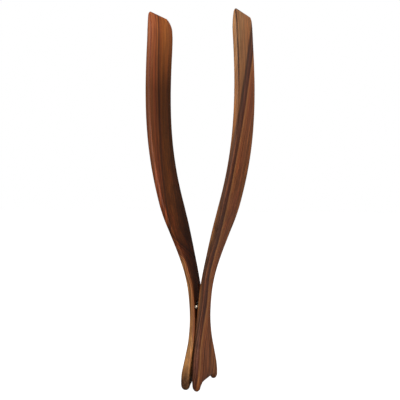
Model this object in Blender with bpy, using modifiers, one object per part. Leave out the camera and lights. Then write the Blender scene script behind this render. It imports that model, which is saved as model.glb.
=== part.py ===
"""Spring-loaded wooden kitchen tongs, standing on their tails, open at rest.

Two S-curved arms lie face to face at the neck with a steel pin between them. A torsion spring
wound round the pin holds the tips apart and the tails together. Squeezing the arms closes the tips.

X runs from the left arm to the right arm, Y through the thickness of the tongs as seen from the
side, Z from the tails up to the tips. The origin is midway between the tails, at their lowest points.
Units are metres.
"""

import math

import bmesh
import bpy
import numpy as np
from mathutils import Matrix, Vector

# Arms
ARM_THICKNESS = 0.0047
EDGE_ROUNDING = 0.0015
EDGE_ROUNDING_RESOLUTION = 1
ROW_SPACING = 0.0065

# Centre line of the right arm: height above the tails, distance from the middle of the tongs
CENTRE_LINE = (
    (0.000, 0.0047),
    (0.012, 0.0042),
    (0.024, 0.0034),
    (0.038, 0.00285),
    (0.045, 0.00280),
    (0.054, 0.0030),
    (0.065, 0.0038),
    (0.078, 0.0052),
    (0.091, 0.0078),
    (0.107, 0.0124),
    (0.124, 0.0180),
    (0.140, 0.0235),
    (0.157, 0.0284),
    (0.177, 0.0330),
    (0.198, 0.0363),
    (0.219, 0.0381),
    (0.241, 0.0387),
    (0.264, 0.0382),
    (0.287, 0.0371),
    (0.309, 0.0367),
)

# Thickness as a share of ARM_THICKNESS: by height, thicker at the tail, and by the distance below
# the tip's edge, where both faces close in and the inner one more than the outer one
TAIL_THICKNESS = (
    (0.000, 1.37),
    (0.012, 1.34),
    (0.024, 1.20),
    (0.038, 1.13),
    (0.052, 1.09),
    (0.065, 1.03),
    (0.080, 1.00),
)
TIP_THICKNESS = (
    (0.000, 0.34),
    (0.003, 0.56),
    (0.008, 0.83),
    (0.015, 1.00),
)
TIP_LEAN = 0.0007

# Heights of each tip's front and back corner, and how far each is rounded: the tips slant a little,
# the left arm is the longer, and its back corner is the rounder
LEFT_TIP = (0.3065, 0.3090)
RIGHT_TIP = (0.2990, 0.3025)
LEFT_TIP_CORNERS = (0.0038, 0.0090)
RIGHT_TIP_CORNERS = (0.0038, 0.0038)

# Half width of the arm above the prongs, up to the belly's full width
HALF_WIDTH = (
    (0.007, 0.0208),
    (0.014, 0.0203),
    (0.025, 0.0177),
    (0.037, 0.0137),
    (0.050, 0.0108),
    (0.062, 0.0096),
    (0.075, 0.0095),
    (0.090, 0.0101),
    (0.107, 0.0127),
    (0.123, 0.0164),
    (0.135, 0.0191),
    (0.146, 0.0203),
)
BELLY_HALF_WIDTH = 0.0203

# Lower edge of the tail, from its middle to the prong: distance from the middle, height
TAIL_CUT_HEIGHT = 0.0048
TAIL_CUT = ((0.0060, 0.0048), (0.0112, 0.0044), (0.0142, 0.0022))
PRONG_RADIUS = 0.0027
PRONG_HALF_WIDTH = 0.0207

# Hinge
PIN_HEIGHT = 0.065
PIN_RADIUS = 0.00125
PIN_LENGTH = 0.0184
PIN_END_ROUNDING = 0.0003
PIN_SEAT_RADIUS = 0.0024

# Torsion spring
WIRE_RADIUS = 0.0008
COIL_RADIUS = 0.0027
COIL_PITCH = 0.00185
COIL_WHOLE_TURNS = 4
LEG_LENGTH = 0.0160
LEG_START = 0.0040
LEG_TILT = math.radians(7.8)
HOOK_LENGTH = 0.0024
HOOK_BEND_RADIUS = 0.0012
WIRE_CLEARANCE = 0.0003
SLOT_MARGIN = 0.00012

# Staples
STAPLE_WIRE_RADIUS = 0.00035
STAPLE_HALF_SPAN = 0.0017
STAPLE_CROWN_DEPTH = 0.0012
STAPLE_DEPTH = 0.0052
STAPLE_PLACE = 0.0105
STAPLE_CLEARANCE = 0.0002

POINTS_PER_TURN = 16
PIN_SEGMENTS = 24
CUTTER_SEGMENTS = 32
PRONG_STEPS = 6
TIP_CORNER_STEPS = 5
STAPLE_CORNER_STEPS = 3
WELD_DISTANCE = 1e-6
SPLIT_DISTANCE = 1e-5
FLAT_ANGLE = math.radians(0.05)
SHARP_ANGLE = math.radians(40)
PIN_RIM_ANGLE = math.radians(60)
THROUGH = 0.060


def clear_scene():
    for obj in list(bpy.data.objects):
        bpy.data.objects.remove(obj, do_unlink=True)


def new_collection(name, hidden=False):
    collection = bpy.data.collections.new(name)
    bpy.context.scene.collection.children.link(collection)
    collection.hide_render = hidden
    return collection


def new_material(name, color, roughness, metallic):
    material = bpy.data.materials.new(name)
    material.use_nodes = True
    shader = material.node_tree.nodes["Principled BSDF"]
    shader.inputs["Base Color"].default_value = (*color, 1.0)
    shader.inputs["Roughness"].default_value = roughness
    shader.inputs["Metallic"].default_value = metallic
    return material


def smooth_value(stations, at):
    """The value at a place along a smooth curve through (place, value) stations."""
    places, values = np.array(stations).T
    slopes = np.gradient(values, places)
    i = int(np.clip(np.searchsorted(places, at) - 1, 0, len(places) - 2))
    span = places[i + 1] - places[i]
    t = (at - places[i]) / span
    start = values[i] * (1 + 2 * t) * (1 - t) ** 2 + slopes[i] * span * t * (1 - t) ** 2
    end = values[i + 1] * t**2 * (3 - 2 * t) + slopes[i + 1] * span * t**2 * (t - 1)
    return float(start + end)


def level_value(stations, at):
    """The value at a place on straight runs between (place, value) stations, level beyond their ends."""
    places, values = np.array(stations).T
    return float(np.interp(at, places, values))


def tip_height(tip, across):
    """The height of the slanted tip edge at a distance from the arm's middle."""
    front, back = tip
    return (front + back) / 2 + (back - front) / 2 * across / BELLY_HALF_WIDTH


def arc(centre, radius, start_deg, end_deg, steps):
    """Points along an arc, both ends included."""
    angles = np.radians(np.linspace(start_deg, end_deg, steps + 1))
    return [(centre[0] + radius * math.cos(a), centre[1] + radius * math.sin(a)) for a in angles]


def side_outline(corner_height, corner_radius):
    """One side of the arm seen flat, from the middle of the tail's edge round to the tip's corner."""
    prong_centre = (PRONG_HALF_WIDTH - PRONG_RADIUS, PRONG_RADIUS)
    points = [(0.0, TAIL_CUT_HEIGHT)]
    points += TAIL_CUT
    points += arc(prong_centre, PRONG_RADIUS, -125, 0, PRONG_STEPS)
    rows = np.arange(HALF_WIDTH[0][0], HALF_WIDTH[-1][0], ROW_SPACING)
    points += [(smooth_value(HALF_WIDTH, height), height) for height in rows]
    points.append((BELLY_HALF_WIDTH, HALF_WIDTH[-1][0]))
    corner = (BELLY_HALF_WIDTH - corner_radius, corner_height - corner_radius)
    points += arc(corner, corner_radius, 0, 90, TIP_CORNER_STEPS)
    return points


def arm_outline(tip, corners):
    front_side, back_side = (side_outline(*corner) for corner in zip(tip, corners))
    front_side = [(-across, height) for across, height in reversed(front_side)]
    return back_side + front_side[:-1]


def curve_object(name, points, cyclic=False, flat=False):
    curve = bpy.data.curves.new(name, "CURVE")
    curve.dimensions = "2D" if flat else "3D"
    spline = curve.splines.new("POLY")
    spline.points.add(len(points) - 1)
    for spline_point, place in zip(spline.points, points):
        spline_point.co = (*place, 0.0, 1.0) if flat else (*place, 1.0)
    spline.use_cyclic_u = cyclic
    return bpy.data.objects.new(name, curve)


def mesh_from_curve(obj, collection):
    """Turns a curve object into a mesh object with its caps welded on."""
    collection.objects.link(obj)
    graph = bpy.context.evaluated_depsgraph_get()
    mesh = bpy.data.meshes.new_from_object(obj.evaluated_get(graph))
    bm = bmesh.new()
    bm.from_mesh(mesh)
    bmesh.ops.remove_doubles(bm, verts=bm.verts, dist=WELD_DISTANCE)
    bmesh.ops.recalc_face_normals(bm, faces=bm.faces)
    bm.to_mesh(mesh)
    bm.free()
    name = obj.name
    matrix = obj.matrix_world.copy()
    curve = obj.data
    bpy.data.objects.remove(obj)
    bpy.data.curves.remove(curve)
    mesh.name = name
    made = bpy.data.objects.new(name, mesh)
    made.matrix_world = matrix
    collection.objects.link(made)
    return made


def flat_board(name, tip, corners, collection):
    """The arm as a flat board with rounded edges: X across, Y along, Z through its thickness."""
    board = curve_object(name, arm_outline(tip, corners), cyclic=True, flat=True)
    board.data.fill_mode = "BOTH"
    board.data.extrude = ARM_THICKNESS / 2 - EDGE_ROUNDING
    board.data.bevel_depth = EDGE_ROUNDING
    board.data.bevel_resolution = EDGE_ROUNDING_RESOLUTION
    board.data.offset = -EDGE_ROUNDING
    return mesh_from_curve(board, collection)


def split_into_rows(bm):
    """Cuts the board across at even steps, so that it can be bent along its length."""
    bmesh.ops.dissolve_limit(bm, angle_limit=FLAT_ANGLE, verts=bm.verts, edges=bm.edges)
    for height in np.arange(ROW_SPACING, max(LEFT_TIP), ROW_SPACING):
        geometry = bm.verts[:] + bm.edges[:] + bm.faces[:]
        bmesh.ops.bisect_plane(
            bm,
            geom=geometry,
            dist=SPLIT_DISTANCE,
            plane_co=(0, height, 0),
            plane_no=(0, 1, 0),
        )


def make_arm(name, side, tip, corners, collection, material):
    """side is 1 for the right arm and -1 for the left, which is its mirror image but for its length."""
    arm = flat_board(name, tip, corners, collection)
    bm = bmesh.new()
    bm.from_mesh(arm.data)
    split_into_rows(bm)
    for vert in bm.verts:
        across, height, through = vert.co
        tip_share = level_value(TIP_THICKNESS, tip_height(tip, across) - height)
        share = level_value(TAIL_THICKNESS, height) * tip_share
        offset = smooth_value(CENTRE_LINE, height) + TIP_LEAN * (1 - tip_share) + through * share
        vert.co = (side * offset, across, height - PIN_HEIGHT)
    bmesh.ops.recalc_face_normals(bm, faces=bm.faces)
    bm.to_mesh(arm.data)
    bm.free()
    arm.location = (0, 0, PIN_HEIGHT)
    arm.data.shade_smooth()
    arm.data.set_sharp_from_angle(angle=SHARP_ANGLE)
    arm.data.materials.append(material)
    return arm


def cylinder(name, radius, length, matrix, segments, collection):
    """A cylinder along its own Z, placed by a matrix."""
    bm = bmesh.new()
    bmesh.ops.create_cone(
        bm,
        cap_ends=True,
        segments=segments,
        radius1=radius,
        radius2=radius,
        depth=length,
    )
    mesh = bpy.data.meshes.new(name)
    bm.to_mesh(mesh)
    bm.free()
    obj = bpy.data.objects.new(name, mesh)
    obj.matrix_world = matrix
    collection.objects.link(obj)
    return obj


def box(name, low, high, matrix, collection):
    """A box between two corners in the space of a matrix."""
    bm = bmesh.new()
    bmesh.ops.create_cube(bm, size=1.0)
    size = Vector(high) - Vector(low)
    middle = (Vector(high) + Vector(low)) / 2
    bmesh.ops.scale(bm, vec=size, verts=bm.verts)
    bmesh.ops.translate(bm, vec=middle, verts=bm.verts)
    mesh = bpy.data.meshes.new(name)
    bm.to_mesh(mesh)
    bm.free()
    obj = bpy.data.objects.new(name, mesh)
    obj.matrix_world = matrix
    collection.objects.link(obj)
    return obj


def leg_frame(side):
    """The frame of one spring leg, at the hinge: X into the wood, Y across, Z up along the leg."""
    into_wood = Vector((side * math.cos(LEG_TILT), 0, -math.sin(LEG_TILT)))
    up_leg = Vector((side * math.sin(LEG_TILT), 0, math.cos(LEG_TILT)))
    across = up_leg.cross(into_wood)
    turn = Matrix((into_wood, across, up_leg)).transposed().to_4x4()
    return Matrix.Translation((0, 0, PIN_HEIGHT)) @ turn


def coil_turns():
    return COIL_WHOLE_TURNS + 0.5 - LEG_TILT / math.pi


def leg_across(side):
    """Where a leg lies along Y: the right leg in front of the middle, the left leg behind it."""
    return -side * coil_turns() * COIL_PITCH / 2


def leg_points(side):
    """The leg from the coil up to its hook, as points in world space."""
    frame = leg_frame(side)
    bend_centre = Vector((COIL_RADIUS + HOOK_BEND_RADIUS, 0, LEG_LENGTH - HOOK_BEND_RADIUS))
    local = [Vector((COIL_RADIUS, 0, LEG_START))]
    for angle in np.radians((180, 150, 120, 90)):
        turn = Vector((math.cos(angle), 0, math.sin(angle)))
        local.append(bend_centre + HOOK_BEND_RADIUS * turn)
    local.append(Vector((COIL_RADIUS + HOOK_LENGTH, 0, LEG_LENGTH)))
    points = [frame @ place for place in local]
    for point in points:
        point.y = leg_across(side)
    return points


def coil_points():
    """The coil from the right leg round to the left leg."""
    turns = coil_turns()
    count = round(turns * POINTS_PER_TURN)
    points = []
    for i in range(count + 1):
        share = i / count
        angle = -LEG_TILT - share * turns * 2 * math.pi
        across = leg_across(1) + share * turns * COIL_PITCH
        place = (COIL_RADIUS * math.cos(angle), across, PIN_HEIGHT + COIL_RADIUS * math.sin(angle))
        points.append(Vector(place))
    return points


def make_spring(collection, material):
    points = list(reversed(leg_points(1))) + coil_points() + leg_points(-1)
    spring = curve_object("torsion_spring", points)
    spring.data.bevel_depth = WIRE_RADIUS
    spring.data.bevel_resolution = 2
    spring.data.use_fill_caps = True
    spring = mesh_from_curve(spring, collection)
    spring.data.shade_smooth()
    spring.data.materials.append(material)
    return spring


def make_pin(collection, material):
    turn = Matrix.Translation((0, 0, PIN_HEIGHT)) @ Matrix.Rotation(math.pi / 2, 4, "X")
    pin = cylinder("hinge_pin", PIN_RADIUS, PIN_LENGTH, turn, PIN_SEGMENTS, collection)
    rounding = pin.modifiers.new("end_rounding", "BEVEL")
    rounding.width = PIN_END_ROUNDING
    rounding.segments = 2
    rounding.limit_method = "ANGLE"
    rounding.angle_limit = PIN_RIM_ANGLE
    pin.data.shade_smooth()
    pin.data.set_sharp_from_angle(angle=SHARP_ANGLE)
    pin.data.materials.append(material)
    return pin


def make_staple(name, side, collection, material):
    """A U of wire over the leg: two prongs in the wood and a crown across the slot."""
    crown = STAPLE_CROWN_DEPTH
    corner = 2 * STAPLE_WIRE_RADIUS
    profile = [(STAPLE_DEPTH, -STAPLE_HALF_SPAN)]
    bend = (crown + corner, -STAPLE_HALF_SPAN + corner)
    profile += arc(bend, corner, 270, 180, STAPLE_CORNER_STEPS)
    bend = (crown + corner, STAPLE_HALF_SPAN - corner)
    profile += arc(bend, corner, 180, 90, STAPLE_CORNER_STEPS)
    profile.append((STAPLE_DEPTH, STAPLE_HALF_SPAN))
    frame = leg_frame(side)
    points = []
    for depth, across in profile:
        point = frame @ Vector((depth, 0, STAPLE_PLACE))
        point.y = leg_across(side) + across
        points.append(point)
    staple = curve_object(name, points)
    staple.data.bevel_depth = STAPLE_WIRE_RADIUS
    staple.data.bevel_resolution = 1
    staple.data.use_fill_caps = True
    staple = mesh_from_curve(staple, collection)
    staple.data.shade_smooth()
    staple.data.materials.append(material)
    return staple


def hinge_cutters(collection):
    """The pin's seat right across the neck and the wider pocket for the coil in its middle."""
    turn = Matrix.Translation((0, 0, PIN_HEIGHT)) @ Matrix.Rotation(math.pi / 2, 4, "X")
    pocket_radius = COIL_RADIUS + WIRE_RADIUS + WIRE_CLEARANCE
    pocket_length = coil_turns() * COIL_PITCH + 2 * (WIRE_RADIUS + WIRE_CLEARANCE)
    return [
        cylinder("pin_seat_cutter", PIN_SEAT_RADIUS, THROUGH, turn, CUTTER_SEGMENTS, collection),
        cylinder("coil_pocket_cutter", pocket_radius, pocket_length, turn, CUTTER_SEGMENTS, collection),
    ]


def leg_cutters(name, side, collection):
    """The slot, the hook's blind hole and the staple's recess and holes in one arm."""
    across = Matrix.Translation((0, leg_across(side), 0))
    frame = across @ leg_frame(side)
    lying = frame @ Matrix.Rotation(math.pi / 2, 4, "Y")
    reach = WIRE_RADIUS + WIRE_CLEARANCE
    slot_half = reach + SLOT_MARGIN
    low = (0, -slot_half, 0)
    high = (COIL_RADIUS + slot_half, slot_half, LEG_LENGTH + slot_half)
    cutters = [box(name + "_slot_cutter", low, high, frame, collection)]
    hook_end = COIL_RADIUS + HOOK_LENGTH + WIRE_CLEARANCE
    hook_place = lying @ Matrix.Translation((-LEG_LENGTH, 0, hook_end / 2))
    cutters.append(cylinder(name + "_hook_cutter", reach, hook_end, hook_place, PIN_SEGMENTS, collection))
    hole_radius = STAPLE_WIRE_RADIUS + STAPLE_CLEARANCE
    recess_half = hole_radius + SLOT_MARGIN
    half_span = STAPLE_HALF_SPAN + recess_half
    low = (0, -half_span, STAPLE_PLACE - recess_half)
    high = (STAPLE_CROWN_DEPTH + recess_half, half_span, STAPLE_PLACE + recess_half)
    cutters.append(box(name + "_staple_recess_cutter", low, high, frame, collection))
    hole_end = STAPLE_DEPTH + STAPLE_CLEARANCE
    for end, place in (("front", -STAPLE_HALF_SPAN), ("back", STAPLE_HALF_SPAN)):
        hole = lying @ Matrix.Translation((-STAPLE_PLACE, place, hole_end / 2))
        hole_name = f"{name}_staple_{end}_cutter"
        cutters.append(cylinder(hole_name, hole_radius, hole_end, hole, PIN_SEGMENTS, collection))
    return cutters


def cut(obj, cutters):
    for cutter in cutters:
        cutter.hide_render = True
        cutter.display_type = "WIRE"
        modifier = obj.modifiers.new(cutter.name, "BOOLEAN")
        modifier.operation = "DIFFERENCE"
        modifier.solver = "EXACT"
        modifier.object = cutter


def main():
    clear_scene()
    parts = new_collection("spring_tongs")
    helpers = new_collection("cutters", hidden=True)
    wood = new_material("oiled_wood", (0.25, 0.105, 0.045), 0.42, 0.0)
    steel = new_material("steel", (0.62, 0.60, 0.56), 0.30, 1.0)
    shared = hinge_cutters(helpers)
    left_arm = make_arm("left_arm", -1, LEFT_TIP, LEFT_TIP_CORNERS, parts, wood)
    cut(left_arm, shared + leg_cutters("left", -1, helpers))
    right_arm = make_arm("right_arm", 1, RIGHT_TIP, RIGHT_TIP_CORNERS, parts, wood)
    cut(right_arm, shared + leg_cutters("right", 1, helpers))
    make_pin(parts, steel)
    make_spring(parts, steel)
    make_staple("left_leg_staple", -1, parts, steel)
    make_staple("right_leg_staple", 1, parts, steel)


main()
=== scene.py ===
"""Looks for a pair of spring-loaded wooden kitchen tongs.

Two S-curved arms in oiled wood stand on their flared tails, joined at the neck by a sprung steel pin.
X runs from the left arm to the right arm, Y along the pin, Z from the tails to the tips, in metres.
"""

import logging
import math
from dataclasses import dataclass
from enum import Enum
from typing import Sequence

import bmesh
import bpy
import numpy as np
from mathutils import Matrix, Vector, noise

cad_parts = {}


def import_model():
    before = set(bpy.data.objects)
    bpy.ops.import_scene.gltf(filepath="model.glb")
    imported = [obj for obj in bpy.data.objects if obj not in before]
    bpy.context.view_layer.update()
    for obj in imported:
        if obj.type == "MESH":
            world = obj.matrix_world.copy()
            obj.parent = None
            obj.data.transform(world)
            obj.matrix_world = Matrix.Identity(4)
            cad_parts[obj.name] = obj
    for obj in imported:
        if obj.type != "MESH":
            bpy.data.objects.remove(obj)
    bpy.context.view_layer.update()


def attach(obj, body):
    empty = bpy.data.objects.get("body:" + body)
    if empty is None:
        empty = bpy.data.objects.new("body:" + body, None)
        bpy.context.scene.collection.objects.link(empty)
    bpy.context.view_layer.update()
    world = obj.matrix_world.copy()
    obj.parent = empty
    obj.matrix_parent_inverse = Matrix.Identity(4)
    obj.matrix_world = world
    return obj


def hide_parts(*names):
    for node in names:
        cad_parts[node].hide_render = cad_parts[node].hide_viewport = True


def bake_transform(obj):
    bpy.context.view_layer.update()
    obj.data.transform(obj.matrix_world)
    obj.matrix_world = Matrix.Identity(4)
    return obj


LOG = logging.getLogger("kitchen_tongs")
MM = 0.001

Point = tuple[float, float]
Colour = tuple[float, float, float]
Place = tuple[float, float, float]


class Side(Enum):
    """The two arms, by the direction in which each lies from the middle of the tongs."""

    LEFT = -1
    RIGHT = 1

    @property
    def label(self) -> str:
        """The side's name as it stands in the names of pieces."""
        return self.name.lower()

    @property
    def body(self) -> str:
        """The body that this side's pieces ride on."""
        return f"{self.label}_side"


class SlotName(Enum):
    """The record's material slots."""

    WOOD = "oiled_wood"
    STEEL = "steel"


# Shader maths


class Shade:
    """A shader socket that can be used in Python expressions."""

    def __init__(self, tree: bpy.types.NodeTree, socket: bpy.types.NodeSocket) -> None:
        """Wraps a socket.

        Args:
            tree: the node tree that the socket belongs to.
            socket: an output socket.
        """
        self.tree = tree
        self.socket = socket

    def _math(self, operation: str, first: "Shade | float", second: "Shade | float") -> "Shade":
        """Adds one Math node.

        Args:
            operation: the node's operation.
            first: its first value.
            second: its second value.

        Returns:
            The node's result.
        """
        node = self.tree.nodes.new("ShaderNodeMath")
        node.operation = operation
        for place, value in enumerate((first, second)):
            if isinstance(value, Shade):
                self.tree.links.new(value.socket, node.inputs[place])
            else:
                node.inputs[place].default_value = value
        return Shade(self.tree, node.outputs[0])

    def __add__(self, other: "Shade | float") -> "Shade":
        """self + other."""
        return self._math("ADD", self, other)

    def __radd__(self, other: float) -> "Shade":
        """other + self."""
        return self._math("ADD", other, self)

    def __sub__(self, other: "Shade | float") -> "Shade":
        """self - other."""
        return self._math("SUBTRACT", self, other)

    def __mul__(self, other: "Shade | float") -> "Shade":
        """self * other."""
        return self._math("MULTIPLY", self, other)

    def __rmul__(self, other: float) -> "Shade":
        """other * self."""
        return self._math("MULTIPLY", other, self)


class Painter:
    """Builds one material's nodes."""

    def __init__(self, name: str) -> None:
        """Starts a material with a Principled shader.

        Args:
            name: the material's name.
        """
        self.material = bpy.data.materials.new(name)
        self.material.use_nodes = True
        self.tree = self.material.node_tree
        self.shader = self.tree.nodes["Principled BSDF"]

    def node(
        self,
        kind: str,
        settings: dict[str, object] | None = None,
        inputs: dict[str | int, object] | None = None,
        output: str | int = 0,
    ) -> Shade:
        """Adds a node, gives it its settings, then its sockets' values or links.

        Args:
            kind: the node's type, without its ShaderNode prefix.
            settings: attributes set before the sockets are filled.
            inputs: socket name or place to a value or a Shade.
            output: the output socket to return.

        Returns:
            The chosen output.
        """
        node = self.tree.nodes.new("ShaderNode" + kind)
        for key, value in (settings or {}).items():
            setattr(node, key, value)
        for key, value in (inputs or {}).items():
            self.feed(node.inputs[key], value)
        return Shade(self.tree, node.outputs[output])

    def feed(self, socket: bpy.types.NodeSocket, value: object) -> None:
        """Links a Shade to a socket, or sets the socket's own value.

        Args:
            socket: the input to fill.
            value: a Shade, or a plain value.
        """
        if isinstance(value, Shade):
            self.tree.links.new(value.socket, socket)
        else:
            socket.default_value = value

    def surface(self, **values: object) -> None:
        """Feeds the Principled shader, its sockets named with underscores for spaces."""
        for key, value in values.items():
            self.feed(self.shader.inputs[key.replace("_", " ")], value)

    def object_place(self) -> Shade:
        """The place on the object, in metres."""
        return self.node("TexCoord", output="Object")

    def attribute(self, name: str) -> Shade:
        """A mark kept on the mesh's points, from 0 to 1."""
        return self.node("Attribute", {"attribute_name": name}, output="Fac")

    def stretched(self, place: Shade, scale: Sequence[float], shift: Sequence[float] = (0, 0, 0)) -> Shade:
        """A place scaled and moved by a Mapping node."""
        return self.node("Mapping", inputs={"Vector": place, "Scale": scale, "Location": shift})

    def noise(self, place: Shade, detail: float = 3.0, roughness: float = 0.5, scale: float = 1.0) -> Shade:
        """Soft noise between 0 and 1 at a place."""
        values = {"Vector": place, "Scale": scale, "Detail": detail, "Roughness": roughness}
        return self.node("TexNoise", inputs=values)

    def noise_along(self, at: Shade, scale: float, detail: float = 2.0) -> Shade:
        """Noise along one measure, such as a depth."""
        values = {"W": at, "Scale": scale, "Detail": detail}
        return self.node("TexNoise", {"noise_dimensions": "1D"}, values)

    def fit(self, value: Shade, low: float, high: float, to_low: float = 0.0, to_high: float = 1.0) -> Shade:
        """A value mapped from one range onto another and held within it."""
        values = {"Value": value, "From Min": low, "From Max": high, "To Min": to_low, "To Max": to_high}
        return self.node("MapRange", {"clamp": True}, values)

    def mix(self, factor: Shade | float, first: object, second: object, blend: str = "MIX") -> Shade:
        """Two colours mixed by a factor."""
        settings = {"data_type": "RGBA", "blend_type": blend, "clamp_factor": True}
        return self.node("Mix", settings, {0: factor, 6: first, 7: second}, output=2)

    def stain(self, mask: Shade, colour: Shade, tint: Colour) -> Shade:
        """A colour multiplied by a tint where a mask is 1."""
        return self.mix(mask, colour, (*tint, 1), "MULTIPLY")

    def ramp(self, value: Shade, stops: Sequence[tuple[float, Colour]]) -> Shade:
        """A colour ramp.

        Args:
            value: where along the ramp to read, from 0 to 1.
            stops: (place, colour) pairs, in order.

        Returns:
            The ramp's colour.
        """
        node = self.tree.nodes.new("ShaderNodeValToRGB")
        node.color_ramp.interpolation = "EASE"
        elements = node.color_ramp.elements
        while len(elements) < len(stops):
            elements.new(0.5)
        for element, (place, colour) in zip(elements, stops):
            element.position = place
            element.color = (*colour, 1.0)
        self.tree.links.new(value.socket, node.inputs[0])
        return Shade(self.tree, node.outputs[0])

    def bump(self, height: Shade, strength: float, distance: float, under: Shade | None = None) -> Shade:
        """A bumped normal.

        Args:
            height: the height of the relief, from 0 to 1.
            strength: how much of the relief shows.
            distance: the relief's depth in metres.
            under: a normal to bump further, where there is one.

        Returns:
            The normal.
        """
        values: dict[str | int, object] = {"Height": height, "Strength": strength, "Distance": distance}
        if under is not None:
            values["Normal"] = under
        return self.node("Bump", inputs=values)


class Grain(Enum):
    """How often each mark of the wood repeats per metre along X, Y and Z, Z being the plank's length."""

    WIDE_WAVER = (16, 16, 6)
    NARROW_WAVER = (60, 60, 13)
    RING_PATCHES = (60, 60, 14)
    FIBRES = (1500, 1500, 30)
    STREAKS = (420, 420, 8)
    RED_STREAKS = (170, 170, 9)
    PORES = (3600, 3600, 190)
    PORE_CLUMPS = (240, 240, 22)
    CLOUDS = (26, 26, 11)
    END_MOTTLE = (500, 500, 900)
    THROAT_SHADE_CLOUDS = (150, 150, 60)
    ARRIS_SHADE_BREAKS = (90, 90, 40)
    WORN_PATCHES = (120, 120, 26)
    TOOL_RIPPLE = (35, 45, 160)


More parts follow.
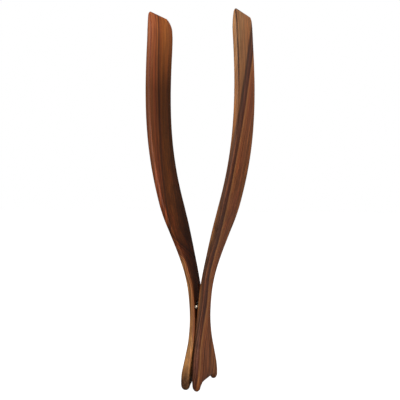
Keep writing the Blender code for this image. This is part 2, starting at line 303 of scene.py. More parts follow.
@dataclass(frozen=True)
class WoodFinish:
    """Oiled, open-pored hardwood cut from a straight plank, its growth layers slanting through the arm.

    The layers are given by their depth along layer_normal, in millimetres, each with its colour. The bends
    are (height, shift in millimetres) stations. Over top_paling_heights the wood turns paler towards the top
    by top_paling.
    Below tip_heights it darkens to tip_colour, where the end grain has drunk more oil.
    """

    name: str
    layer_normal: Place
    layers: tuple[tuple[float, Colour], ...]
    shift: Place
    bends: tuple[Point, ...]
    top_paling: Colour
    top_paling_heights: Point
    tip_colour: Colour
    tip_heights: Point
    # real edge wear plus a painted highlight on the rounded edges
    edge_wear_and_highlight: Colour
    # painted shade: a dark line along the rounded front arris
    arris_shade_colour: Colour
    arris_shade_heights: Point
    ring_contrast: float = 0.7
    tail_contrast: float = 2.0
    tail_heights: Point = (0.045, 0.075)
    top_contrast: float = 0.4
    top_heights: Point = (0.200, 0.260)
    wide_waver: float = 3.2
    narrow_waver: float = 1.8
    roughness: float = 0.44
    dark_ring: Colour = (0.40, 0.34, 0.30)
    light_ring: Colour = (1.60, 1.55, 1.40)
    fine_ring: Colour = (0.56, 0.50, 0.44)
    dark_fibre: Colour = (0.58, 0.52, 0.45)
    light_streak: Colour = (1.60, 1.50, 1.25)
    dark_streak: Colour = (0.60, 0.55, 0.50)
    red_streak: Colour = (1.25, 0.92, 1.00)
    pore: Colour = (0.35, 0.28, 0.25)
    cloud: Colour = (1.25, 1.00, 0.78)
    # painted shade for the inner faces in the throat near the hinge
    throat_shade_colour: Colour = (0.52, 0.42, 0.33)

    def make(self) -> bpy.types.Material:
        """Builds the wood.

        Returns:
            The finished material.
        """
        paint = Painter(self.name)
        place = paint.object_place()
        height = paint.node("SeparateXYZ", inputs={0: place}, output="Z")
        rim, arris, throat = (paint.attribute(name) for name in ("rim", "arris", "throat"))
        depth = self._depth(paint, place, height)
        colour = self._layers(paint, depth)
        colour, fine_rings = self._rings(paint, depth, place, height, colour)
        colour, fibres = self._fibres(paint, place, colour)
        colour, pores = self._pores(paint, place, colour)
        colour = self._tone(paint, place, height, colour)
        # painted shade in the throat
        colour = self._painted_throat_shade(paint, place, colour, throat)
        # edge wear, with a painted highlight on the rounded edges
        colour = self._worn_and_highlit_edges(paint, place, colour, rim)
        # painted shade line along the front arris
        colour = self._painted_arris_shade(paint, place, height, colour, arris)
        ripple = self._marks(paint, place, Grain.TOOL_RIPPLE, detail=2.0)
        rough = self.roughness + 0.16 * (ripple - 0.5) + 0.14 * pores - 0.06 * rim
        relief = fibres * 0.5 + fine_rings * 0.25 - pores
        fine = paint.bump(relief, strength=0.35, distance=0.00012)
        broad = paint.bump(ripple, strength=0.12, distance=0.0008, under=fine)
        paint.surface(Base_Color=colour, Roughness=rough, Normal=broad)
        paint.surface(Specular_IOR_Level=0.13, Coat_Weight=0.015, Coat_Roughness=0.30)
        return paint.material

    def _marks(self, paint: Painter, place: Shade, grain: Grain, detail: float) -> Shade:
        """Noise stretched along the plank as one kind of mark is."""
        return paint.noise(paint.stretched(place, grain.value, self.shift), detail=detail)

    def _depth(self, paint: Painter, place: Shade, height: Shade) -> Shade:
        """The depth of a place in the plank's growth layers, with their natural waver.

        Args:
            paint: the material's painter.
            place: the place on the arm, in metres.
            height: the place's height.

        Returns:
            The depth in millimetres.
        """
        wide = self._marks(paint, place, Grain.WIDE_WAVER, detail=1.5) - 0.5
        narrow = self._marks(paint, place, Grain.NARROW_WAVER, detail=2.0) - 0.5
        normal = tuple(part / MM for part in self.layer_normal)
        along = paint.node("VectorMath", {"operation": "DOT_PRODUCT"}, {0: place, 1: normal}, "Value")
        waver = self.wide_waver * wide + self.narrow_waver * narrow
        return along + waver + self._bend(paint, height)

    def _bend(self, paint: Painter, height: Shade) -> Shade:
        """How far the layers bend away from straight.

        Args:
            paint: the material's painter.
            height: the height on the arm, in metres.

        Returns:
            The shift in depth, in millimetres.
        """
        low, high = self.bends[0][0], self.bends[-1][0]
        shifts = [shift for _, shift in self.bends]
        least, span = min(shifts), max(shifts) - min(shifts)
        stops = [((at - low) / (high - low), ((shift - least) / span,) * 3) for at, shift in self.bends]
        return paint.ramp(paint.fit(height, low, high), stops) * span + least

    def _layers(self, paint: Painter, depth: Shade) -> Shade:
        """The colours of the growth layers.

        Args:
            paint: the material's painter.
            depth: the depth in the layers, in millimetres.

        Returns:
            The colour before any marks.
        """
        low, high = self.layers[0][0], self.layers[-1][0]
        stops = [((at - low) / (high - low), colour) for at, colour in self.layers]
        return paint.ramp(paint.fit(depth, low, high), stops)

    def _rings(
        self, paint: Painter, depth: Shade, place: Shade, height: Shade, colour: Shade
    ) -> tuple[Shade, Shade]:
        """Draws thin lines within the layers, bolder in the tail and fainter at the top.

        Args:
            paint: the material's painter.
            depth: the depth in the layers, in millimetres.
            place: the place on the arm.
            height: the place's height.
            colour: the colour so far.

        Returns:
            The new colour, and the finest lines as a height for the bump.
        """
        lines = paint.noise_along(depth, scale=0.85, detail=3.0)
        fine = paint.noise_along(depth, scale=4.2, detail=2.0)
        patches = self._marks(paint, place, Grain.RING_PATCHES, detail=1.0)
        tail = paint.fit(height, *self.tail_heights, self.tail_contrast, 1.0)
        top = paint.fit(height, *self.top_heights, 1.0, self.top_contrast)
        bold = paint.fit(patches, 0.35, 0.60, 0.5, 1.0) * tail * top * self.ring_contrast
        colour = paint.stain(paint.fit(lines, 0.48, 0.62) * bold, colour, self.dark_ring)
        colour = paint.stain(paint.fit(lines, 0.50, 0.36) * bold, colour, self.light_ring)
        colour = paint.stain(paint.fit(fine, 0.46, 0.64) * 0.40, colour, self.fine_ring)
        return colour, fine

    def _fibres(self, paint: Painter, place: Shade, colour: Shade) -> tuple[Shade, Shade]:
        """Draws long fibres and streaks along the plank.

        Args:
            paint: the material's painter.
            place: the place on the arm.
            colour: the colour so far.

        Returns:
            The new colour, and the fibres as a height for the bump.
        """
        fibres = self._marks(paint, place, Grain.FIBRES, detail=3.0)
        streaks = self._marks(paint, place, Grain.STREAKS, detail=2.0)
        red_place = paint.stretched(place, Grain.RED_STREAKS.value, self.shift[::-1])
        red = paint.noise(red_place, detail=1.5)
        colour = paint.stain(paint.fit(fibres, 0.44, 0.64) * 0.45, colour, self.dark_fibre)
        colour = paint.stain(paint.fit(streaks, 0.48, 0.64) * 0.50, colour, self.light_streak)
        colour = paint.stain(paint.fit(streaks, 0.46, 0.34) * 0.50, colour, self.dark_streak)
        colour = paint.stain(paint.fit(red, 0.52, 0.66) * 0.45, colour, self.red_streak)
        return colour, fibres

    def _pores(self, paint: Painter, place: Shade, colour: Shade) -> tuple[Shade, Shade]:
        """Draws short open pores, darker and sunk a little.

        Args:
            paint: the material's painter.
            place: the place on the arm.
            colour: the colour so far.

        Returns:
            The new colour, and the pores' mask.
        """
        grains = self._marks(paint, place, Grain.PORES, detail=1.0)
        clumps = self._marks(paint, place, Grain.PORE_CLUMPS, detail=1.0)
        pores = paint.fit(grains, 0.66, 0.74) * paint.fit(clumps, 0.42, 0.62)
        return paint.stain(pores * 0.65, colour, self.pore), pores

    def _tone(self, paint: Painter, place: Shade, height: Shade, colour: Shade) -> Shade:
        """Adds slow changes of tone, the paler sapwood, and the darker oiled end grain of the tail.

        Args:
            paint: the material's painter.
            place: the place on the arm.
            height: the place's height.
            colour: the colour so far.

        Returns:
            The new colour.
        """
        clouds = self._marks(paint, place, Grain.CLOUDS, detail=2.0)
        colour = paint.stain(paint.fit(clouds, 0.40, 0.70) * 0.30, colour, self.cloud)
        # paler towards the top
        pale = paint.fit(height + 0.03 * (clouds - 0.5), *self.top_paling_heights)
        colour = paint.stain(pale, colour, self.top_paling)
        end = paint.fit(height, self.tip_heights[1], self.tip_heights[0])
        mottle = self._marks(paint, place, Grain.END_MOTTLE, detail=2.0)
        dark = end * paint.fit(mottle, 0.25, 0.55, 0.60, 1.0)
        return paint.stain(dark, colour, self.tip_colour)

    def _painted_throat_shade(self, paint: Painter, place: Shade, colour: Shade, throat: Shade) -> Shade:
        """Darkens the inner faces near the hinge with painted shade, broken by soft clouds.

        Args:
            paint: the material's painter.
            place: the place on the arm.
            colour: the colour so far.
            throat: the throat's mark.

        Returns:
            The new colour.
        """
        cloud = self._marks(paint, place, Grain.THROAT_SHADE_CLOUDS, detail=2.0)
        dark = throat * paint.fit(cloud, 0.30, 0.60, 0.75, 1.0)
        return paint.stain(dark, colour, self.throat_shade_colour)

    def _painted_arris_shade(
        self, paint: Painter, place: Shade, height: Shade, colour: Shade, arris: Shade
    ) -> Shade:
        """Paints a dark line of shade along the front arris, clearest towards the tip.

        Args:
            paint: the material's painter.
            place: the place on the arm.
            height: the place's height.
            colour: the colour so far.
            arris: the arris's mark.

        Returns:
            The new colour.
        """
        breaks = self._marks(paint, place, Grain.ARRIS_SHADE_BREAKS, detail=2.0)
        reach = paint.fit(height, *self.arris_shade_heights) * paint.fit(breaks, 0.30, 0.50, 0.7, 1.0)
        line = paint.fit(arris, 0.05, 0.60) * reach
        return paint.stain(line, colour, self.arris_shade_colour)

    def _worn_and_highlit_edges(self, paint: Painter, place: Shade, colour: Shade, rim: Shade) -> Shade:
        """Rubs the edges paler, as hands and sanding do, and paints on them the highlight that rounded edges
        catch.

        Args:
            paint: the material's painter.
            place: the place on the arm.
            colour: the colour so far.
            rim: the edges' mark.

        Returns:
            The new colour.
        """
        patches = self._marks(paint, place, Grain.WORN_PATCHES, detail=2.0)
        worn = rim * paint.fit(patches, 0.30, 0.62, 0.35, 1.0)
        return paint.stain(worn, colour, self.edge_wear_and_highlight)


@dataclass(frozen=True)
class SteelFinish:
    """Drawn or turned steel with fine marks and a little tarnish."""

    name: str
    colour: Colour
    roughness: float
    marks: Place
    tarnish_colour: Colour = (0.30, 0.24, 0.17)
    scratch_colour: Colour = (0.72, 0.70, 0.68)

    def make(self) -> bpy.types.Material:
        """Builds the steel.

        Returns:
            The finished material.
        """
        paint = Painter(self.name)
        place = paint.object_place()
        scratches = paint.noise(paint.stretched(place, self.marks), detail=3.0)
        cloud = paint.noise(place, detail=2.0, scale=700.0)
        tarnish = paint.fit(cloud, 0.50, 0.72)
        colour = paint.mix(tarnish * 0.45, (*self.colour, 1), (*self.tarnish_colour, 1))
        colour = paint.stain(paint.fit(scratches, 0.5, 0.75) * 0.3, colour, self.scratch_colour)
        rough = self.roughness + 0.18 * (scratches - 0.5) + 0.20 * tarnish
        normal = paint.bump(scratches, strength=0.25, distance=0.00003)
        paint.surface(Base_Color=colour, Roughness=rough, Normal=normal, Metallic=1.0)
        return paint.material


# Geometry


@dataclass(frozen=True)
class SmoothCurve:
    """A curve without kinks through (place, value) stations."""

    stations: tuple[Point, ...]

    def __call__(self, at: float) -> float:
        """The curve's value at a place.

        Args:
            at: a place between the first and the last station.

        Returns:
            The value there.
        """
        places, values = np.array(self.stations).T
        slopes = np.gradient(values, places)
        i = int(np.clip(np.searchsorted(places, at) - 1, 0, len(places) - 2))
        span = places[i + 1] - places[i]
        t = (at - places[i]) / span
        start = values[i] * (1 + 2 * t) * (1 - t) ** 2 + slopes[i] * span * t * (1 - t) ** 2
        end = values[i + 1] * t**2 * (3 - 2 * t) + slopes[i + 1] * span * t**2 * (t - 1)
        return float(start + end)


def level_value(stations: Sequence[Point], at: float) -> float:
    """The value at a place on straight runs between stations, level beyond their ends."""
    places, values = np.array(stations).T
    return float(np.interp(at, places, values))


def arc(centre: Point, radius: float, start_deg: float, end_deg: float, steps: int) -> list[Point]:
    """Points along an arc, both ends included."""
    angles = np.radians(np.linspace(start_deg, end_deg, steps + 1))
    return [(centre[0] + radius * math.cos(a), centre[1] + radius * math.sin(a)) for a in angles]


def new_object(name: str, bm: bmesh.types.BMesh) -> bpy.types.Object:
    """Makes an object at the origin from a bmesh, with its faces out, and frees the bmesh.

    Args:
        name: the object's name.
        bm: its shape.

    Returns:
        The object, in the scene.
    """
    bmesh.ops.recalc_face_normals(bm, faces=bm.faces)
    mesh = bpy.data.meshes.new(name)
    bm.to_mesh(mesh)
    bm.free()
    obj = bpy.data.objects.new(name, mesh)
    bpy.context.scene.collection.objects.link(obj)
    return obj


def smooth(obj: bpy.types.Object, sharp_deg: float) -> None:
    """Shades an object smooth, keeping edges sharper than an angle crisp."""
    obj.data.shade_smooth()
    obj.data.set_sharp_from_angle(angle=math.radians(sharp_deg))


def end_faces(bm: bmesh.types.BMesh) -> list[bmesh.types.BMFace]:
    """The faces with more than four sides, which are the ends of a turned, bent or sawn shape."""
    return [face for face in bm.faces if len(face.verts) > 4]


def cylinder(name: str, radius: float, length: float, place: Matrix, segments: int = 64) -> bpy.types.Object:
    """A capped cylinder along the Z axis of a place.

    Args:
        name: the object's name.
        radius: its radius.
        length: its length, half of it on each side of the place.
        place: where it stands, and which way.
        segments: its sides.

    Returns:
        The cylinder.
    """
    bm = bmesh.new()
    bmesh.ops.create_cone(
        bm, cap_ends=True, segments=segments, radius1=radius, radius2=radius, depth=length, matrix=place
    )
    return new_object(name, bm)


def box(name: str, low: Sequence[float], high: Sequence[float], place: Matrix) -> bpy.types.Object:
    """A box between two corners.

    Args:
        name: the object's name.
        low: its lowest corner, in the space of the place.
        high: its highest corner, in the space of the place.
        place: where it stands, and which way.

    Returns:
        The box.
    """
    bm = bmesh.new()
    size = Vector(high) - Vector(low)
    middle = (Vector(high) + Vector(low)) / 2
    inside = Matrix.Translation(middle) @ Matrix.Diagonal((*size, 1.0))
    bmesh.ops.create_cube(bm, size=1.0, matrix=place @ inside)
    return new_object(name, bm)


def cut(obj: bpy.types.Object, cutters: Sequence[bpy.types.Object]) -> None:
    """Cuts cutters out of an object for good and removes them.

    Args:
        obj: the object to cut.
        cutters: closed shapes.
    """
    for cutter in cutters:
        modifier = obj.modifiers.new(cutter.name, "BOOLEAN")
        modifier.operation = "DIFFERENCE"
        modifier.solver = "EXACT"
        modifier.object = cutter
    graph = bpy.context.evaluated_depsgraph_get()
    mesh = bpy.data.meshes.new_from_object(obj.evaluated_get(graph))
    obj.modifiers.clear()
    old = obj.data
    obj.data = mesh
    bpy.data.meshes.remove(old)
    mesh.name = obj.name
    for cutter in cutters:
        bpy.data.meshes.remove(cutter.data)


class Wire:
    """Round wire bent from one end to the other."""

    def __init__(self, radius: float, start: Vector, direction: Vector, segments: int = 12) -> None:
        """Starts the wire with a round end.

        Args:
            radius: the wire's radius.
            start: the middle of its first end.
            direction: the way it runs from there.
            segments: sides of its section.
        """
        self.bm = bmesh.new()
        turn = direction.to_track_quat("Z", "Y").to_matrix().to_4x4()
        place = Matrix.Translation(start) @ turn
        bmesh.ops.create_circle(self.bm, cap_ends=True, radius=radius, segments=segments, matrix=place)
        self.radius = radius
        self.ring = list(self.bm.edges)

    def _newest(self, made: list[object]) -> None:
        """Keeps the last ring of edges from an operator's result."""
        self.ring = [part for part in made if isinstance(part, bmesh.types.BMEdge)]

    def straight(self, along: Vector, steps: int = 1) -> None:
        """Runs the wire on in a straight line.

        Args:
            along: how far, and which way.
            steps: how many rings to lay down over it.
        """
        for _ in range(steps):
            made = bmesh.ops.extrude_edge_only(self.bm, edges=self.ring)["geom"]
            verts = [part for part in made if isinstance(part, bmesh.types.BMVert)]
            bmesh.ops.translate(self.bm, verts=verts, vec=along / steps)
            edges = [part for part in made if isinstance(part, bmesh.types.BMEdge)]
            self._newest([edge for edge in edges if all(vert in verts for vert in edge.verts)])

    def bend(self, centre: Vector, axis: Vector, angle: float, steps: int, rise: Vector = Vector()) -> None:
        """Bends the wire round an axis.

        Args:
            centre: a point on the axis.
            axis: the axis's direction.
            angle: how far round, in radians.
            steps: how many rings to lay down over it.
            rise: how far the wire climbs over the whole bend, for a coil.
        """
        made = bmesh.ops.spin(
            self.bm,
            geom=self.ring,
            cent=centre,
            axis=axis,
            dvec=rise / steps,
            angle=angle,
            steps=steps,
            use_merge=False,
            use_duplicate=False,
        )
        self._newest(made["geom_last"])

    def finish(self, name: str) -> bpy.types.Object:
        """Closes the last end and softens both ends.

        Args:
            name: the object's name.

        Returns:
            The wire's object.
        """
        bmesh.ops.contextual_create(self.bm, geom=self.ring)
        edges = [edge for face in end_faces(self.bm) for edge in face.edges]
        bmesh.ops.bevel(
            self.bm,
            geom=edges,
            offset=self.radius * 0.35,
            segments=2,
            profile=0.5,
            affect="EDGES",
            material=-1,
        )
        obj = new_object(name, self.bm)
        smooth(obj, 50)
        return obj


@dataclass(frozen=True)
class Hinge:
    """The sprung pin between the necks: its place, its parts' sizes and the room cut for them in the arms."""

    height: float = 65.0 * MM
    pin_radius: float = 1.25 * MM
    pin_length: float = 18.4 * MM
    pin_rounding: float = 0.35 * MM
    pin_rings: tuple[Point, ...] = ((0.22 * MM, 0.06 * MM), (0.30 * MM, 0.03 * MM), (0.12 * MM, -0.05 * MM))
    seat_radius: float = 1.75 * MM
    seat_length: float = 60.0 * MM
    wire_radius: float = 0.8 * MM
    coil_radius: float = 2.7 * MM
    coil_pitch: float = 1.85 * MM
    whole_turns: int = 4
    leg_length: float = 16.0 * MM
    leg_tilt: float = math.radians(7.8)
    blended_share: float = 0.86
    hook_length: float = 2.4 * MM
    hook_bend: float = 1.2 * MM
    clearance: float = 0.3 * MM
    slot_margin: float = 0.12 * MM
    staple_wire: float = 0.35 * MM
    staple_half_span: float = 1.7 * MM
    crown_depth: float = 1.2 * MM
    staple_depth: float = 5.2 * MM
    staple_place: float = 10.5 * MM
    staple_clearance: float = 0.2 * MM

    @property
    def turns(self) -> float:
        """How many times the coil goes round between its legs."""
        return self.whole_turns + 0.5 - self.leg_tilt / math.pi

    @property
    def along_pin(self) -> Matrix:
        """The pin's frame, with Z along it."""
        return Matrix.Translation((0, 0, self.height)) @ Matrix.Rotation(math.pi / 2, 4, "X")

    def leg_across(self, side: Side) -> float:
        """Where a side's leg lies along the pin."""
        return -side.value * self.turns * self.coil_pitch / 2

    def blend_point(self, side: Side) -> Place:
        """A point on the pin's axis, a share of the way from the middle to a side's leg."""
        return (0, self.leg_across(side) * self.blended_share, self.height)

    def into_wood(self, side: Side) -> Vector:
        """The direction square to a leg, into its arm."""
        return Vector((side.value * math.cos(self.leg_tilt), 0, -math.sin(self.leg_tilt)))

    def up_leg(self, side: Side) -> Vector:
        """The direction along a leg, away from the pin."""
        return Vector((side.value * math.sin(self.leg_tilt), 0, math.cos(self.leg_tilt)))

    def leg_frame(self, side: Side) -> Matrix:
        """A leg's frame, at the leg's place along the pin.

        Args:
            side: the leg's side.

        Returns:
            The frame: X into the wood, Y across, Z up the leg.
        """
        into, up = self.into_wood(side), self.up_leg(side)
        turn = Matrix((into, up.cross(into), up)).transposed().to_4x4()
        return Matrix.Translation((0, self.leg_across(side), self.height)) @ turn

    def cutters(self, side: Side) -> list[bpy.types.Object]:
        """The room for the hinge in one arm.

        Args:
            side: the arm's side.

        Returns:
            Cutters for the pin's seat, the coil's pocket, the leg's slot and hole, and the staple.
        """
        pocket_radius = self.coil_radius + self.wire_radius + self.clearance
        pocket_length = self.turns * self.coil_pitch + 2 * (self.wire_radius + self.clearance)
        frame = self.leg_frame(side)
        lying = frame @ Matrix.Rotation(math.pi / 2, 4, "Y")
        reach = self.wire_radius + self.clearance
        slot = reach + self.slot_margin
        hook_end = self.coil_radius + self.hook_length + self.clearance
        hole = self.staple_wire + self.staple_clearance
        recess = hole + self.slot_margin
        half_span = self.staple_half_span + recess
        hole_end = self.staple_depth + self.staple_clearance
        hook_place = lying @ Matrix.Translation((-self.leg_length, 0, hook_end / 2))
        slot_high = (self.coil_radius + slot, slot, self.leg_length + slot)
        recess_low = (0, -half_span, self.staple_place - recess)
        recess_high = (self.crown_depth + recess, half_span, self.staple_place + recess)
        made = [
            cylinder("pin_seat", self.seat_radius, self.seat_length, self.along_pin),
            cylinder("coil_pocket", pocket_radius, pocket_length, self.along_pin),
            box("leg_slot", (0, -slot, 0), slot_high, frame),
            cylinder("hook_hole", reach, hook_end, hook_place, 32),
            box("staple_recess", recess_low, recess_high, frame),
        ]
        for across in (-self.staple_half_span, self.staple_half_span):
            place = lying @ Matrix.Translation((-self.staple_place, across, hole_end / 2))
            made.append(cylinder("staple_hole", hole, hole_end, place, 24))
        return made

    def build_pin(self) -> bpy.types.Object:
        """The turned pin, its ends rounded and ringed by the parting tool.

        Returns:
            The pin.
        """
        bm = bmesh.new()
        bmesh.ops.create_cone(
            bm,
            cap_ends=True,
            segments=48,
            radius1=self.pin_radius,
            radius2=self.pin_radius,
            depth=self.pin_length,
            matrix=self.along_pin,
        )
        rims = [edge for face in end_faces(bm) for edge in face.edges]
        bmesh.ops.bevel(
            bm,
            geom=rims,
            offset=self.pin_rounding,
            segments=4,
            profile=0.5,
            affect="EDGES",
            material=-1,
        )
        ends = end_faces(bm)
        for thickness, depth in self.pin_rings:
            bmesh.ops.inset_individual(bm, faces=ends, thickness=thickness, depth=depth)
        obj = new_object("turned_hinge_pin", bm)
        smooth(obj, 40)
        return obj

    def build_spring(self) -> bpy.types.Object:
        """The torsion spring, bent from the right leg's hook round the pin to the left leg's hook.

        Returns:
            The spring.
        """
        y_axis = Vector((0, 1, 0))
        straight_hook = self.hook_length - self.hook_bend
        straight_leg = self.leg_length - self.hook_bend
        right, left = self.leg_frame(Side.RIGHT), self.leg_frame(Side.LEFT)
        into = self.into_wood(Side.RIGHT)
        hook_tip = right @ Vector((self.coil_radius + self.hook_length, 0, self.leg_length))
        wire = Wire(self.wire_radius, hook_tip, -into, segments=16)
        wire.straight(-into * straight_hook)
        bend_place = Vector((self.coil_radius + self.hook_bend, 0, straight_leg))
        wire.bend(right @ bend_place, y_axis, -math.pi / 2, 8)
        wire.straight(-self.up_leg(Side.RIGHT) * straight_leg, steps=4)
        centre = Vector((0, 0, self.height))
        rise = y_axis * self.turns * self.coil_pitch
        wire.bend(centre, y_axis, self.turns * 2 * math.pi, round(self.turns * 36), rise)
        wire.straight(self.up_leg(Side.LEFT) * straight_leg, steps=4)
        wire.bend(left @ bend_place, y_axis, -math.pi / 2, 8)
        wire.straight(self.into_wood(Side.LEFT) * straight_hook)
        return wire.finish("wound_torsion_spring")

    def build_staple(self, side: Side) -> bpy.types.Object:
        """The wire staple that ties one leg down.

        Args:
            side: the leg's side.

        Returns:
            The staple.
        """
        frame = self.leg_frame(side)
        turn = frame.to_3x3()
        into, across, up = (turn @ Vector(axis) for axis in ((1, 0, 0), (0, 1, 0), (0, 0, 1)))
        corner = 2 * self.staple_wire
        prong = self.staple_depth - self.crown_depth - corner
        crown = 2 * (self.staple_half_span - corner)
        start = frame @ Vector((self.staple_depth, -self.staple_half_span, self.staple_place))
        wire = Wire(self.staple_wire, start, -into, segments=10)
        wire.straight(-into * prong)
        depth = self.crown_depth + corner
        for along in (-1, 1):
            place = Vector((depth, along * (self.staple_half_span - corner), self.staple_place))
            wire.bend(frame @ place, up, -math.pi / 2, 5)
            wire.straight(across * crown if along < 0 else into * prong)
        return wire.finish(f"{side.label}_leg_wire_staple")


@dataclass
class Arm:
    """One arm: a board sawn to its outline, rounded along its edges and shaped to an S.

    tip holds the heights of the front and the back corner of the slanted tip, and corners their radii.
    """

    side: Side
    tip: Point
    corners: Point
    finish: WoodFinish
    hinge: Hinge
    thickness: float = 4.7 * MM
    edge_rounding: float = 1.5 * MM
    outline_step: float = 2.0 * MM
    row_step: float = 2.0 * MM
    column_step: float = 2.4 * MM
    tip_lean: float = 0.7 * MM
    crown: float = 0.22 * MM
    arris_shade_width: float = 1.25 * MM
    inner_start: float = 0.45
    # heights over which the throat's painted shade fades in and out
    throat_shade_heights: tuple[Point, ...] = ((0.012, 0.35), (0.060, 1.0), (0.105, 1.0), (0.165, 0.0))
    foot_rounding: float = 4.5 * MM
    foot_edge_share: float = 0.50
    foot_curve: float = 2.2
    sanding_depth: float = 0.06 * MM
    sanding_across: float = 60.0
    sanding_along: float = 22.0
    belly_half_width: float = 20.3 * MM
    prong_half_width: float = 20.7 * MM
    prong_radius: float = 2.7 * MM
    tail_cut: tuple[Point, ...] = (
        (0.0, 4.8 * MM),
        (6.0 * MM, 4.8 * MM),
        (11.2 * MM, 4.4 * MM),
        (14.2 * MM, 2.2 * MM),
    )
    centre_line: SmoothCurve = SmoothCurve(
        (
            (0.000, 0.0047),
            (0.012, 0.0042),
            (0.024, 0.0034),
            (0.038, 0.00285),
            (0.045, 0.00280),
            (0.054, 0.0030),
            (0.065, 0.0038),
            (0.078, 0.0052),
            (0.091, 0.0078),
            (0.107, 0.0124),
            (0.124, 0.0180),
            (0.140, 0.0235),
            (0.157, 0.0284),
            (0.177, 0.0330),
            (0.198, 0.0363),
            (0.219, 0.0381),
            (0.241, 0.0387),
            (0.264, 0.0382),
            (0.287, 0.0371),
            (0.309, 0.0367),
        )
    )
    half_width: SmoothCurve = SmoothCurve(
        (
            (0.007, 0.0208),
            (0.014, 0.0203),
            (0.025, 0.0177),
            (0.037, 0.0137),
            (0.050, 0.0108),
            (0.062, 0.0096),
            (0.075, 0.0095),
            (0.090, 0.0101),
            (0.107, 0.0127),
            (0.123, 0.0164),
            (0.135, 0.0191),
            (0.146, 0.0203),
        )
    )
    tail_thickness: tuple[Point, ...] = (
        (0.000, 1.37),
        (0.012, 1.34),
        (0.024, 1.20),
        (0.038, 1.13),
        (0.052, 1.09),
        (0.065, 1.03),
        (0.080, 1.00),
    )
    tip_thickness: tuple[Point, ...] = ((0.000, 0.34), (0.003, 0.56), (0.008, 0.83), (0.015, 1.00))
    foot_swell: tuple[Point, ...] = ((0.000, 0.0),)

    def build(self) -> bpy.types.Object:
        """Makes the arm's piece, cut for the hinge and dressed in its wood.

        Returns:
            The arm.
        """
        bm = self._flat_board()
        self._split_faces(bm)
        self._shape(bm)
        arm = new_object(f"{self.side.label}_carved_arm", bm)
        cut(arm, self.hinge.cutters(self.side))
        self._mark_rims(arm.data)
        smooth(arm, 38)
        arm.data.materials.append(self.finish.make())
        return arm

    def _outline(self) -> list[Point]:
        """The arm seen flat, all the way round from the middle of the tail's edge.

        Returns:
            (across, height) points.
        """
        front_side, back_side = (self._side_outline(*corner) for corner in zip(self.tip, self.corners))
        front_side = [(-across, height) for across, height in reversed(front_side)]
        return back_side + front_side[:-1]

    def _side_outline(self, corner_height: float, corner_radius: float) -> list[Point]:
        """One side of the outline, from the middle of the tail up to the tip's corner.

        Args:
            corner_height: the height of the tip's corner.
            corner_radius: the corner's radius.

        Returns:
            (across, height) points.
        """
        prong_centre = (self.prong_half_width - self.prong_radius, self.prong_radius)
        points = list(self.tail_cut)
        points += arc(prong_centre, self.prong_radius, -125, 0, 14)
        first, last = self.half_width.stations[0][0], self.half_width.stations[-1][0]
        points += [(self.half_width(height), height) for height in np.arange(first, last, self.outline_step)]
        corner = (self.belly_half_width - corner_radius, corner_height - corner_radius)
        straight = np.arange(last, corner[1], self.outline_step)
        points += [(self.belly_half_width, height) for height in straight]
        points += arc(corner, corner_radius, 0, 90, 12)
        return points

    def _flat_board(self) -> bmesh.types.BMesh:
        """The board before it is shaped, its edges rounded over.

        Returns:
            The board: X across, Y along, Z through it.
        """
        bm = bmesh.new()
        outline = self._outline()
        bmesh.ops.create_circle(bm, cap_ends=True, radius=1.0, segments=len(outline))
        bm.verts.ensure_lookup_table()
        loop = list(bm.faces[:][0].verts)
        for vert, (across, height) in zip(loop, outline):
            vert.co = (across, height, -self.thickness / 2)
        made = bmesh.ops.extrude_face_region(bm, geom=bm.faces[:], use_keep_orig=True)["geom"]
        upper = [part for part in made if isinstance(part, bmesh.types.BMVert)]
        bmesh.ops.translate(bm, verts=upper, vec=(0, 0, self.thickness))
        bmesh.ops.recalc_face_normals(bm, faces=bm.faces)
        rims = [edge for face in end_faces(bm) for edge in face.edges]
        bmesh.ops.bevel(
            bm,
            geom=rims,
            offset=self.edge_rounding,
            segments=5,
            profile=0.5,
            affect="EDGES",
            material=-1,
            clamp_overlap=False,
        )
        return bm

    def _split_faces(self, bm: bmesh.types.BMesh) -> None:
        """Cuts the board's two broad faces into rows and columns, so that they can be shaped.

        Args:
            bm: the flat board.
        """
        rows = np.arange(self.row_step, max(self.tip), self.row_step)
        columns = np.arange(-self.belly_half_width, self.belly_half_width, self.column_step)
        planes = [((0, height, 0), (0, 1, 0)) for height in rows]
        planes += [((across, 0, 0), (1, 0, 0)) for across in columns]
        for point, normal in planes:
            faces = [face for face in bm.faces if abs(face.normal.z) > 0.999]
            edges = {edge for face in faces for edge in face.edges}
            verts = {vert for face in faces for vert in face.verts}
            bmesh.ops.bisect_plane(
                bm, geom=[*verts, *edges, *faces], dist=1e-6, plane_co=point, plane_no=normal
            )

    def _tip_height(self, across: float) -> float:
        """The height of the slanted tip edge at a distance from the arm's middle."""
        front, back = self.tip
        return (front + back) / 2 + (back - front) / 2 * across / self.belly_half_width

    def _section(self, across: float, height: float) -> tuple[float, float]:
        """How the arm lies at one place.

        Args:
            across: the distance from the arm's middle.
            height: the height.

        Returns:
            The offset of its middle surface from the middle of the tongs, and its share of thickness.
        """
        tip_share = level_value(self.tip_thickness, self._tip_height(across) - height)
        swell = level_value(self.foot_swell, height)
        share = level_value(self.tail_thickness, height) * tip_share + swell / self.thickness
        return self.centre_line(height) + self.tip_lean * (1 - tip_share) + swell / 2, share

    def _tail_edge_height(self, across: float) -> float:
        """The height of the tail's scalloped lower edge.

        Args:
            across: the distance from the arm's middle.

        Returns:
            The height there.
        """
        prong_centre = self.prong_half_width - self.prong_radius
        if abs(across) < self.tail_cut[-1][0]:
            return level_value(self.tail_cut, abs(across))
        reach = min(abs(abs(across) - prong_centre), self.prong_radius)
        return self.prong_radius - math.sqrt(self.prong_radius**2 - reach**2)

    def _foot_share(self, across: float, height: float) -> float:
        """How much of the thickness is left near the tail's lower edge, which is worn quite round.

        Args:
            across: the distance from the arm's middle.
            height: the height.

        Returns:
            The share, 1 away from the edge.
        """
        rise = min(max(height - self._tail_edge_height(across), 0.0), self.foot_rounding)
        closeness = 1.0 - rise / self.foot_rounding
        return 1.0 - (1.0 - self.foot_edge_share) * closeness**self.foot_curve

